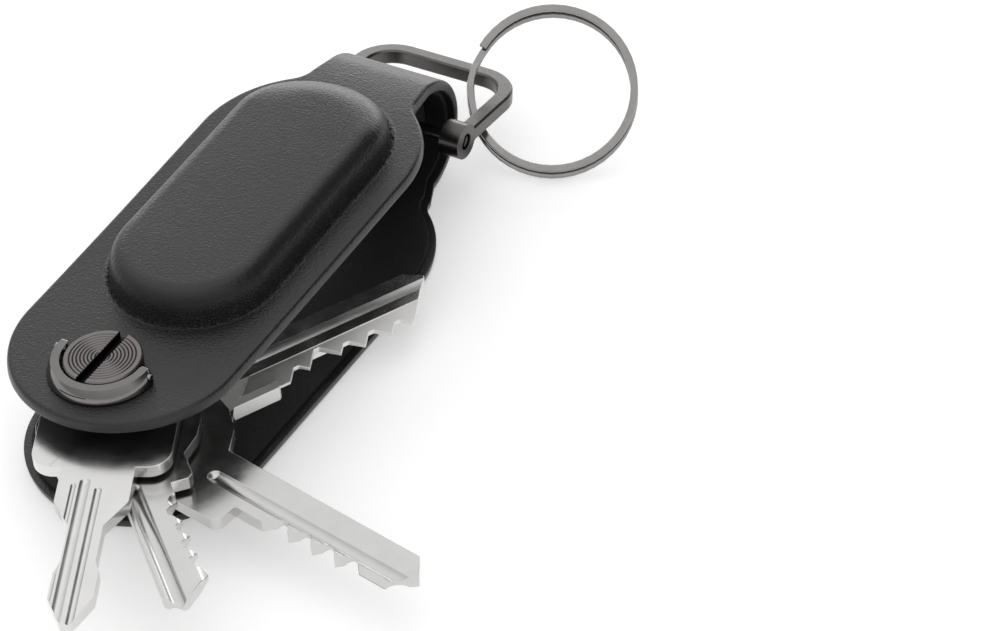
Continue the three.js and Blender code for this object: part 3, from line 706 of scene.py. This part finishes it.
def padding_material():
    material, tree, shader = new_material("padding", Specular_IOR_Level=PADDING_GLOSS)
    inputs = {"Vector": place_in(tree), "Scale": FOAM_SCALE}
    foam = add(tree, "ShaderNodeTexVoronoi", inputs).outputs["Distance"]
    colour = tint(tree, foam, *PADDING_COLOURS)
    roughness = ramp(tree, foam, *PADDING_ROUGHNESS)
    join(tree, shader, Base_Color=colour, Roughness=roughness, Normal=bump(tree, foam, FOAM_HEIGHT))
    return material


def metal_material(name, dark, light, roughness_range):
    """Dark plated metal between two colours, with a range of roughness."""
    material, tree, shader = new_material(name, Metallic=1.0)
    place = place_in(tree)
    grit = noise(tree, place, **METAL_GRIT)
    colour = tint(tree, noise(tree, place, **METAL_CLOUD), dark, light)
    roughness = ramp(tree, grit, *roughness_range)
    join(tree, shader, Base_Color=colour, Roughness=roughness, Normal=bump(tree, grit, METAL_GRIT_HEIGHT))
    return material


def screw_material():
    """Dark plated metal with painted shade: its colour turns black below the head's face, in the slot and the
    ring grooves.
    """
    material, tree, shader = new_material("screw", Metallic=1.0)
    place = place_in(tree)
    height = add(tree, "ShaderNodeSeparateXYZ", {0: place}).outputs["Z"]
    unshaded_share = rise_between(tree, height, SCREW_TOP - SCREW_SHADE_DEPTH, SCREW_TOP - SCREW_FACE_DEPTH)
    grit = noise(tree, place, **METAL_GRIT)
    # Painted shade: black in the slot and grooves, the metal's own colour at the face
    colour = tint(tree, unshaded_share, *SCREW_SHADE_AND_METAL_COLOURS)
    roughness = ramp(tree, grit, *SCREW_ROUGHNESS)
    join(tree, shader, Base_Color=colour, Roughness=roughness, Normal=bump(tree, grit, SCREW_GRIT_HEIGHT))
    return material


def nickel_material(name, heading, painted_light_level, milled=()):
    """Bright satin plating, faintly brushed along a heading in degrees, and duller in its milled strips. Its
    colour is scaled by a level that paints the key's light or shade.
    """
    material, tree, shader = new_material(name, Metallic=1.0)
    brushed = noise(tree, place_in(tree, heading, BRUSHING_STRETCH), **BRUSHING)
    cloud = noise(tree, place_in(tree), **NICKEL_CLOUD)
    across = add(tree, "ShaderNodeSeparateXYZ", {0: place_in(tree, heading)}).outputs["Y"]
    roughness = ramp(tree, cloud, *NICKEL_ROUGHNESS)
    for middle, half_width, extra in milled:
        inputs = {0: across, 1: middle, 2: half_width}
        strip = add(tree, "ShaderNodeMath", inputs, operation="COMPARE").outputs[0]
        inputs = {0: strip, 1: extra, 2: roughness}
        roughness = add(tree, "ShaderNodeMath", inputs, operation="MULTIPLY_ADD").outputs[0]
    # Painted light: the nickel's colour is scaled up or down for the light or shade on this key
    dark, light = (np.array(NICKEL) * painted_light_level * spread for spread in NICKEL_SPREAD)
    normal = bump(tree, brushed, MILLED_HEIGHT if milled else BRUSHING_HEIGHT)
    join(tree, shader, Base_Color=tint(tree, cloud, dark, light), Roughness=roughness, Normal=normal)
    return material


def nylon_material():
    material, tree, shader = new_material("nylon", Specular_IOR_Level=NYLON_GLOSS)
    grit = noise(tree, place_in(tree), **NYLON_GRIT)
    colour = tint(tree, grit, *NYLON_COLOURS)
    roughness = ramp(tree, grit, *NYLON_ROUGHNESS)
    join(tree, shader, Base_Color=colour, Roughness=roughness, Normal=bump(tree, grit, NYLON_GRIT_HEIGHT))
    return material


# Cover pieces

LEATHER_DOME = dome_profiles(0, 0)
POCKET = dome_profiles(0, LEATHER_THICKNESS)
PADDING = dome_profiles(PADDING_GAP, LEATHER_THICKNESS + PADDING_GAP)


def leather_loops(inset):
    holes = [hole((0, 0), POST_HOLE, inset), hole((BACK_POST, 0), FLANGE_HOLE, inset)]
    return [strip_outline(inset), *holes]


def lining_loops(inset):
    holes = [hole((along, 0), POST_HOLE, inset) for along in (0, BACK_POST)]
    return [strip_outline(inset + LINING_SETBACK), *holes]


def padding_loops(inset):
    distances, heights = PADDING[0]
    radius = np.interp(-PADDING_WALL, -heights, distances)
    return [dome_loop(radius - inset, radius)]


def foot_along(along, across):
    """A point's place along the dome's foot, measured round each of its two round ends."""
    nearest = np.clip(along, DOME_NEAR, DOME_FAR)
    return nearest + DOME_FOOT * np.arctan2(along - nearest, np.abs(across) + GRID_STEP / 2)


def foot_off(along, across):
    """Distance from the dome's foot, less than 0 on the dome."""
    return dome_distance(along, across) - DOME_FOOT


def crease(along, across):
    """1 at the dome's foot, fading to 0 beside it."""
    return np.exp(-(foot_off(along, across) / CRINKLE_REACH) ** 2)


def phase(along, across, rates):
    """How far a wave has turned at a place on the strip."""
    return rates[0] * along + rates[1] * across


def groove(along, across):
    """Depth of the wandering line pressed into the leather at the dome's foot."""
    wander = CREASE_WANDER * sum(np.sin(phase(along, across, rates)) for rates in CREASE_WAVES)
    off_line = foot_off(along, across) - CREASE_HALF_WIDTH + wander
    return CREASE_DEPTH * np.exp(-(off_line / CREASE_HALF_WIDTH) ** 2)


def crinkle(along, across):
    """Small irregular folds in the leather close to the dome's foot."""
    folds = 0
    for rates, sway, sway_rates in CRINKLE_WAVES:
        swayed = sway * np.sin(phase(along, across, sway_rates))
        folds = folds + np.sin(CRINKLE_SCALE * phase(along, across, rates) + swayed)
    return CRINKLE_HEIGHT * crease(along, across) * folds


def leather_top(along, across):
    return dome_lift(along, across, LEATHER_DOME) + crinkle(along, across) - groove(along, across)


def leather_bottom(along, across):
    return dome_lift(along, across, POCKET) - LEATHER_THICKNESS


def padding_top(along, across):
    return dome_lift(along, across, PADDING) - LEATHER_THICKNESS


def level(height):
    """A flat face at a height."""
    return lambda along, across: np.full(len(along), height)


def dome_rings():
    """Distances of the rings of points over the dome's shoulder, its wall and the crease."""
    distances, heights = LEATHER_DOME[0]
    along_section = np.concatenate([[0], np.cumsum(np.hypot(np.diff(distances), np.diff(heights)))])
    start = np.interp(DOME_FOOT - DOME_FAR_SHOULDER, distances, along_section)
    end = np.interp(DOME_FOOT - CREASE_STEP, distances, along_section)
    steps = np.arange(start, end, DOME_RING_STEP)
    crease_steps = np.arange(DOME_FOOT, DOME_FOOT + 2 * CRINKLE_REACH, CREASE_STEP)
    return [*np.interp(steps, along_section, distances), *crease_steps]


def dress(piece, node, body, material):
    """Puts a piece in the place of a CAD node, on the same body."""
    piece.data.materials.append(material)
    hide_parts(node)
    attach(piece, body)


def make_cover():
    lining_top = level(-LEATHER_THICKNESS)
    lining_bottom = level(-LEATHER_THICKNESS - LINING_THICKNESS)
    rim = rolled_rim(LEATHER_THICKNESS)
    leather = sheet_piece("leather_cover", leather_loops, rim, leather_top, leather_bottom, dome_rings())
    rim = plain_rim(LINING_THICKNESS)
    lining = sheet_piece("leather_lining", lining_loops, rim, lining_top, lining_bottom)
    padding = sheet_piece("dome_pad", padding_loops, rim, padding_top, lining_top, dome_rings())
    dress(leather, "cover_leather", "case", leather_material())
    dress(lining, "cover_lining", "case", lining_material())
    dress(padding, "dome_padding", "case", padding_material())


# Bail and pins

def swept(name, sections):
    """A closed body through a row of loops of points, each with as many points as the next."""
    size = len(sections[0])
    faces = [tuple(range(size))[::-1], tuple(range(size * (len(sections) - 1), size * len(sections)))]
    for row in range(len(sections) - 1):
        first = row * size
        for i in range(size):
            j = (i + 1) % size
            faces.append((first + i, first + j, first + size + j, first + size + i))
    mesh = bpy.data.meshes.new(name)
    mesh.from_pydata((np.vstack(sections) * MILLIMETRE).tolist(), [], faces)
    mesh.update()
    return place_piece(name, mesh)


def rod_along_y(name, stations):
    """A round rod along Y on the bail's axis, through radii at places along it."""
    turns = np.linspace(0, 2 * math.pi, ROUND_SIDES, endpoint=False)
    sections = []
    for y, radius in stations:
        ring = np.column_stack([np.sin(turns), np.zeros(ROUND_SIDES), np.cos(turns)]) * radius
        sections.append(ring + (0, y, BAIL_AXIS_HEIGHT))
    return swept(name, sections)


def cut(piece, cutter):
    """Takes the cutter's body out of the piece, and the cutter out of the scene."""
    change = piece.modifiers.new("cut", "BOOLEAN")
    change.operation = "DIFFERENCE"
    change.solver = "EXACT"
    change.object = cutter
    graph = bpy.context.evaluated_depsgraph_get()
    piece.data = bpy.data.meshes.new_from_object(piece.evaluated_get(graph))
    piece.modifiers.clear()
    bpy.data.objects.remove(cutter)


def bail_section():
    """Radii and heights round the bail's section: a flat top, a slightly swelling outer wall that leans out,
    and a small bevel at the wall's foot."""
    turns = np.linspace(*BAIL_WALL_TURNS, BAIL_WALL_STEPS)
    outward = (np.sin(turns) - np.sin(turns[0])) / (np.sin(turns[-1]) - np.sin(turns[0]))
    downward = (np.cos(turns[0]) - np.cos(turns)) / (np.cos(turns[0]) - np.cos(turns[-1]))
    radii = BAIL_TOP_OUTER + (BAIL_OUTER - BAIL_TOP_OUTER) * outward
    heights = BAIL_RISE - (BAIL_RISE + BAIL_DROP - BAIL_EDGE) * downward
    corners = [
        (BAIL_INNER, BAIL_RISE),
        *zip(radii, heights),
        (BAIL_OUTER - BAIL_EDGE, -BAIL_DROP),
        (BAIL_INNER, -BAIL_DROP),
    ]
    return np.array(corners)


def bail_place(section, turn, forward):
    """A section of the bail at a turn about the screw's axis, moved forward along X."""
    radii, heights = section.T
    return np.column_stack([
        forward + radii * math.cos(turn),
        radii * math.sin(turn),
        BAIL_AXIS_HEIGHT + heights,
    ])


def bail_end(turn, reverse):
    """Sections of one end of the bail, from its tip to the pins' axis, rounder in plan than from the side."""
    section = bail_section()
    middle = np.array([(BAIL_INNER + BAIL_OUTER) / 2, 0])
    sections = []
    for share in np.sin(np.linspace(BAIL_TIP_TURN, 0, BAIL_END_STEPS))[:-1]:
        size = [(1 - share ** power) ** (1 / power) for power in BAIL_END_POWERS]
        sections.append(bail_place(middle + (section - middle) * size, turn, share * BAIL_DROP))
    return sections[::-1] if reverse else sections


def nail_slit():
    """The body that is cut out of the bail's outer wall for a finger nail."""
    half = SLIT_HEIGHT / 2
    inner, outer = BAIL_OUTER - SLIT_DEPTH, BAIL_OUTER + CUT_MARGIN
    corners = np.array([(inner, half), (outer, half), (outer, -half), (inner, -half)])
    turns = np.radians(np.linspace(180 - SLIT_HALF_ANGLE, 180 + SLIT_HALF_ANGLE, SLIT_STEPS))
    return swept("nail_slit", [bail_place(corners, turn, 0) for turn in turns])


def make_bail(metal):
    turns = np.linspace(math.pi / 2, 3 * math.pi / 2, BAIL_STEPS)
    ring = [bail_place(bail_section(), turn, 0) for turn in turns]
    bail = swept("bail", bail_end(turns[0], False) + ring + bail_end(turns[-1], True))
    reach = BAIL_OUTER + CUT_MARGIN
    cut(bail, rod_along_y("pin_hole", [(-reach, BAIL_HOLE), (reach, BAIL_HOLE)]))
    cut(bail, nail_slit())
    shade(bail, BAIL_EDGE_ANGLE)
    dress(bail, "screw_bail", "bail", metal)


def make_bail_pins(metal):
    """Pins from the screw's head into the bail's ends, with low domed caps."""
    turns = np.linspace(0, PIN_CAP_TURN, PIN_CAP_STEPS)
    cap = [(PIN_REACH + PIN_CAP * math.sin(turn), PIN_RADIUS * math.cos(turn)) for turn in turns]
    for name, side in (("bail_pin_left", 1), ("bail_pin_right", -1)):
        stations = [(side * y, radius) for y, radius in [(PIN_START, PIN_RADIUS), *cap]]
        pin = rod_along_y(name + "_cap", stations if side < 0 else stations[::-1])
        shade(pin, EDGE_ANGLE)
        dress(pin, name, "screw", metal)


# Metal and nylon pieces stay as they are in the frame, with rounded edges

def weld(node):
    """Joins the corners of a CAD node's faces."""
    node.modifiers.new("weld", "WELD").merge_threshold = WELD_DISTANCE * MILLIMETRE


def round_edges(node, width):
    """Rounds a CAD node's sharp edges."""
    flat = node.modifiers.new("flat", "DECIMATE")
    flat.decimate_type = "DISSOLVE"
    flat.angle_limit = math.radians(FLAT_ANGLE)
    rounding = node.modifiers.new("rounding", "BEVEL")
    rounding.width = width * MILLIMETRE
    rounding.segments = EDGE_SEGMENTS
    rounding.limit_method = "ANGLE"
    rounding.angle_limit = math.radians(EDGE_ANGLE)
    rounding.use_clamp_overlap = False


def shade(node, angle):
    """Shades a node smooth over all but edges sharper than an angle, with flat faces that stay flat."""
    node.modifiers.new("smooth", "NODES").node_group = smooth_group(angle)
    node.modifiers.new("even", "WEIGHTED_NORMAL").keep_sharp = True


def smooth_group(edge_angle):
    """A modifier that shades smooth over all but edges sharper than an angle, made once for each angle."""
    name = f"smooth_shading_{edge_angle:.0f}"
    group = bpy.data.node_groups.get(name)
    if group:
        return group
    group = bpy.data.node_groups.new(name, "GeometryNodeTree")
    group.interface.new_socket("Geometry", in_out="INPUT", socket_type="NodeSocketGeometry")
    group.interface.new_socket("Geometry", in_out="OUTPUT", socket_type="NodeSocketGeometry")
    start = group.nodes.new("NodeGroupInput").outputs[0]
    inputs = {"Geometry": start, "Shade Smooth": True}
    faces = add(group, "GeometryNodeSetShadeSmooth", inputs, domain="FACE")
    angle = add(group, "GeometryNodeInputMeshEdgeAngle").outputs["Unsigned Angle"]
    inputs = {"A": angle, "B": math.radians(edge_angle)}
    sharp = add(group, "FunctionNodeCompare", inputs, operation="GREATER_THAN").outputs[0]
    inputs = {"Geometry": faces.outputs[0], "Selection": sharp, "Shade Smooth": False}
    edges = add(group, "GeometryNodeSetShadeSmooth", inputs, domain="EDGE")
    group.links.new(edges.outputs[0], group.nodes.new("NodeGroupOutput").inputs[0])
    return group


def finish_node(name, material, width):
    """Gives a CAD node its material, and rounded edges unless their width is 0."""
    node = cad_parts[name]
    node.data.materials.clear()
    node.data.materials.append(material)
    weld(node)
    if width:
        round_edges(node, width)
    shade(node, EDGE_ANGLE)


def finish_hardware():
    gunmetal = metal_material("gunmetal", *GUNMETAL)
    steel = metal_material("ring_steel", *RING_STEEL)
    nylon = nylon_material()
    for name in GUNMETAL_NODES:
        finish_node(name, gunmetal, EDGE_WIDTH)
    finish_node("post_screw", screw_material(), 0)
    finish_node("split_ring", steel, WIRE_EDGE_WIDTH)
    make_bail(metal_material("polished_gunmetal", *POLISHED_GUNMETAL))
    make_bail_pins(steel)
    for name in NYLON_NODES:
        finish_node(name, nylon, EDGE_WIDTH)
    for name, heading in KEY_HEADINGS.items():
        milled = MILLED_STRIPS.get(name, ())
        material = nickel_material("nickel_" + name, heading, KEY_PAINTED_LIGHT_LEVELS[name], milled)
        finish_node(name, material, EDGE_WIDTH)


# Camera, floor and light

def make_camera():
    yaw, pitch, roll = (math.radians(angle) for angle in (VIEW_HEADING, VIEW_PITCH, VIEW_ROLL))
    back = Vector((math.cos(yaw) * math.cos(pitch), math.sin(yaw) * math.cos(pitch), math.sin(pitch)))
    right = Vector((-math.sin(yaw), math.cos(yaw), 0))
    up = back.cross(right)
    rolled_right = right * math.cos(roll) + up * math.sin(roll)
    rolled_up = up * math.cos(roll) - right * math.sin(roll)
    turn = Matrix((rolled_right, rolled_up, back)).transposed().to_4x4()
    data = bpy.data.cameras.new("camera")
    data.sensor_width = SENSOR_WIDTH
    data.sensor_fit = "HORIZONTAL"
    data.lens = FOCAL_LENGTH
    data.clip_start = CLIP_START * MILLIMETRE
    camera = bpy.data.objects.new("camera", data)
    place = (Vector(VIEW_TARGET) + back * VIEW_DISTANCE) * MILLIMETRE
    camera.matrix_world = Matrix.Translation(place) @ turn
    bpy.context.scene.collection.objects.link(camera)
    bpy.context.scene.camera = camera


def seen_directly(tree):
    """1 for rays that show the surface to the camera, also in mirrors or through glass, and 0 for others."""
    path = add(tree, "ShaderNodeLightPath")
    seen = path.outputs["Is Camera Ray"]
    for name in ("Is Glossy Ray", "Is Transmission Ray"):
        seen = add(tree, "ShaderNodeMath", {0: seen, 1: path.outputs[name]}, operation="MAXIMUM").outputs[0]
    return seen


def floor_material():
    """A pale floor that glows a little where it is seen, so that it looks white."""
    material, tree, shader = new_material(
        "floor", Roughness=FLOOR_ROUGHNESS, Specular_IOR_Level=0.0, Emission_Color=WHITE)
    colour = tint(tree, noise(tree, place_in(tree), **FLOOR_CLOUD), *FLOOR_COLOURS)
    join(tree, shader, Base_Color=colour, Emission_Strength=times(tree, seen_directly(tree), FLOOR_GLOW))
    return material


def make_floor():
    half = FLOOR_SIZE / 2 * MILLIMETRE
    height = cad_low.z - FLOOR_GAP * MILLIMETRE
    corners = [(x * half, y * half, height) for x, y in ((-1, -1), (1, -1), (1, 1), (-1, 1))]
    mesh = bpy.data.meshes.new("floor")
    mesh.from_pydata(corners, [], [(0, 1, 2, 3)])
    mesh.materials.append(floor_material())
    floor = place_piece("floor", mesh)


def facing_share(tree, direction, side):
    """Cosine of the angle between a direction and a side of the studio."""
    inputs = {0: direction, 1: Vector(side).normalized()}
    return add(tree, "ShaderNodeVectorMath", inputs, operation="DOT_PRODUCT").outputs["Value"]


def make_world():
    """Soft studio surroundings: bright above, dim below, with a dark flag on the right."""
    world = bpy.data.worlds.new("studio")
    bpy.context.scene.world = world
    world.use_nodes = True
    tree = world.node_tree
    direction = add(tree, "ShaderNodeTexCoord").outputs["Generated"]
    inputs = {"Value": facing_share(tree, direction, BRIGHT_SIDE), "From Min": -1.0, "From Max": 1.0}
    inputs.update({"To Min": DIM_LIGHT, "To Max": BRIGHT_LIGHT})
    light = add(tree, "ShaderNodeMapRange", inputs).outputs[0]
    edge, core = (math.cos(math.radians(angle)) for angle in DARK_REACH)
    inputs = {"Value": facing_share(tree, direction, DARK_SIDE), "From Min": edge, "From Max": core}
    inputs.update({"To Min": 1.0, "To Max": DARK_SHARE})
    flag = add(tree, "ShaderNodeMapRange", inputs, interpolation_type="SMOOTHSTEP").outputs[0]
    background = tree.nodes["Background"]
    background.inputs["Color"].default_value = WHITE
    tree.links.new(times(tree, light, flag), background.inputs["Strength"])


def make_backdrop_light():
    """A wide, low softbox behind the organizer."""
    data = bpy.data.lights.new("backdrop_light", "AREA")
    data.shape = "RECTANGLE"
    data.size = BACKDROP_WIDTH * MILLIMETRE
    data.size_y = BACKDROP_HEIGHT * MILLIMETRE
    data.energy = BACKDROP_POWER
    lamp = bpy.data.objects.new("backdrop_light", data)
    toward = Vector(BACKDROP_SIDE).normalized()
    lamp.location = (Vector(VIEW_TARGET) + toward * BACKDROP_DISTANCE) * MILLIMETRE
    lamp.rotation_euler = toward.to_track_quat("Z", "Y").to_euler()
    bpy.context.scene.collection.objects.link(lamp)


make_camera()
make_cover()
finish_hardware()
make_floor()
make_world()
make_backdrop_light()
bpy.context.scene.view_settings.view_transform = "Standard"
